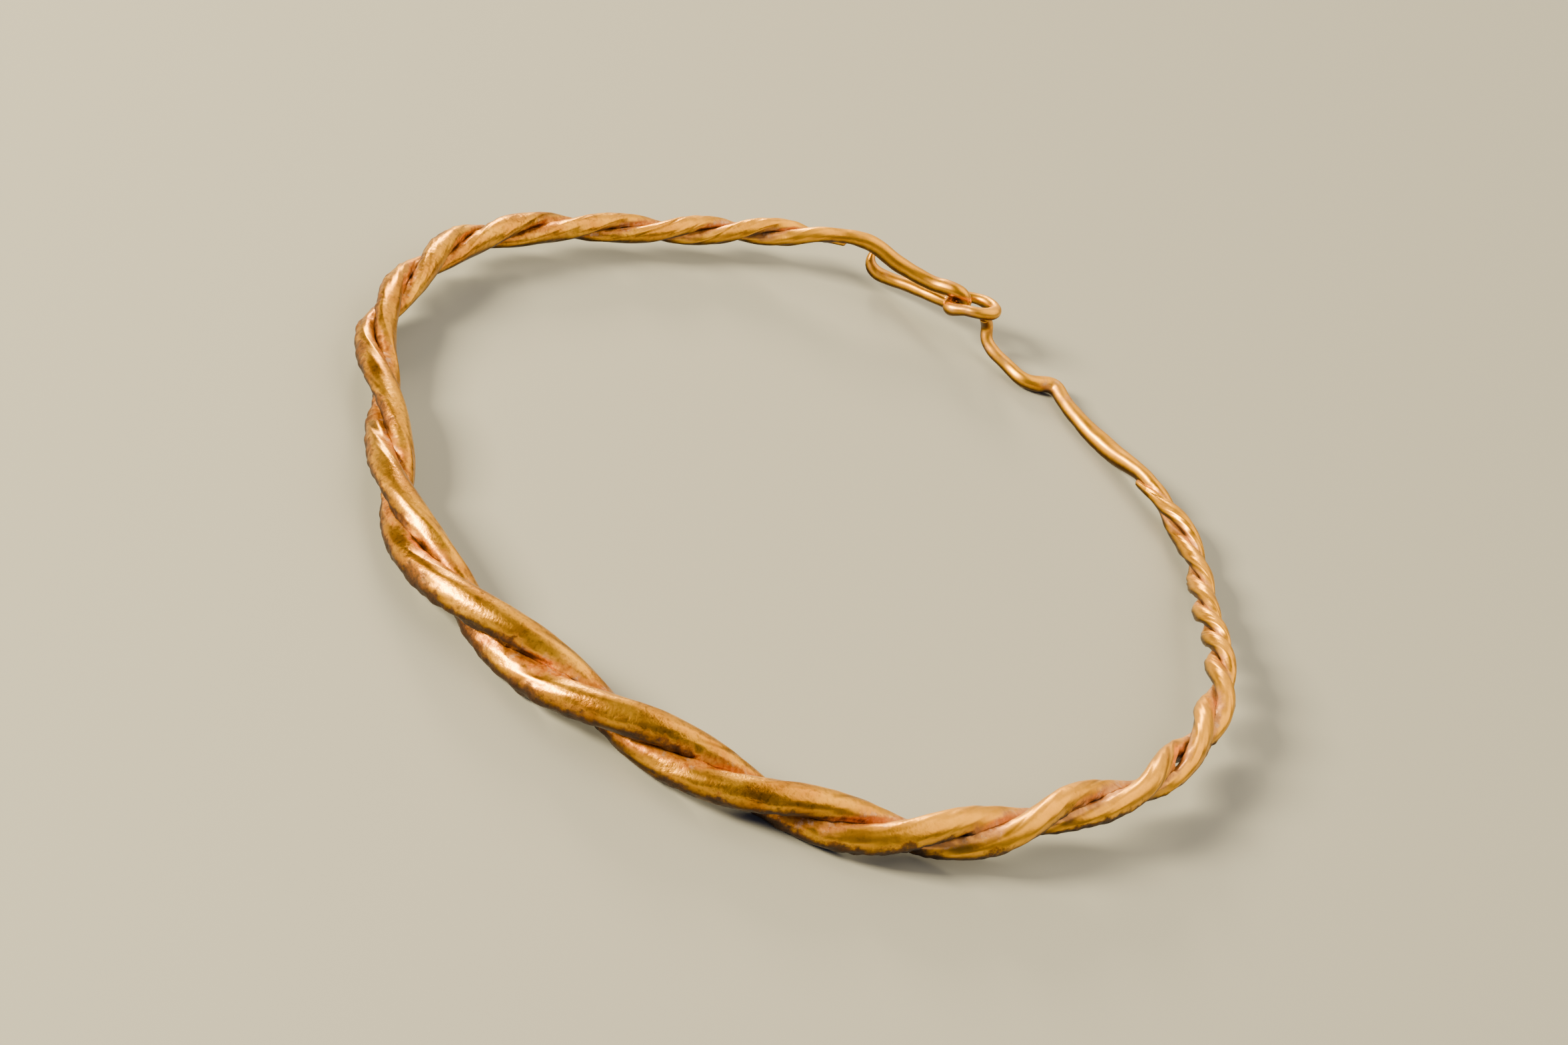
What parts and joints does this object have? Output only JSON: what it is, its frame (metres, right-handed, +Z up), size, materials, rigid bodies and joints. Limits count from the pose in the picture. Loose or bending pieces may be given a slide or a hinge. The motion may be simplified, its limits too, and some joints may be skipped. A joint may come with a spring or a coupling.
{
  "type": "twisted bracelet",
  "caption": "Open wrist ring of two tapering rods twisted together, closed by a long hook through a round eye.",
  "frame": {"origin": "on the table, below the middle of the bracelet's box", "axes": "+Z up, square to the plane the ring lies in; +Y from the middle towards the clasp; +X from the hook's side towards the eye's side"},
  "size_m": [0.078, 0.0804, 0.0054],
  "materials": {
    "gold": "satin worked gold with fine scratches, soil in the grooves"
  },
  "bodies": {
    "root": {"main_rod": "gold", "second_rod": "gold"}
  },
  "joints": []
}
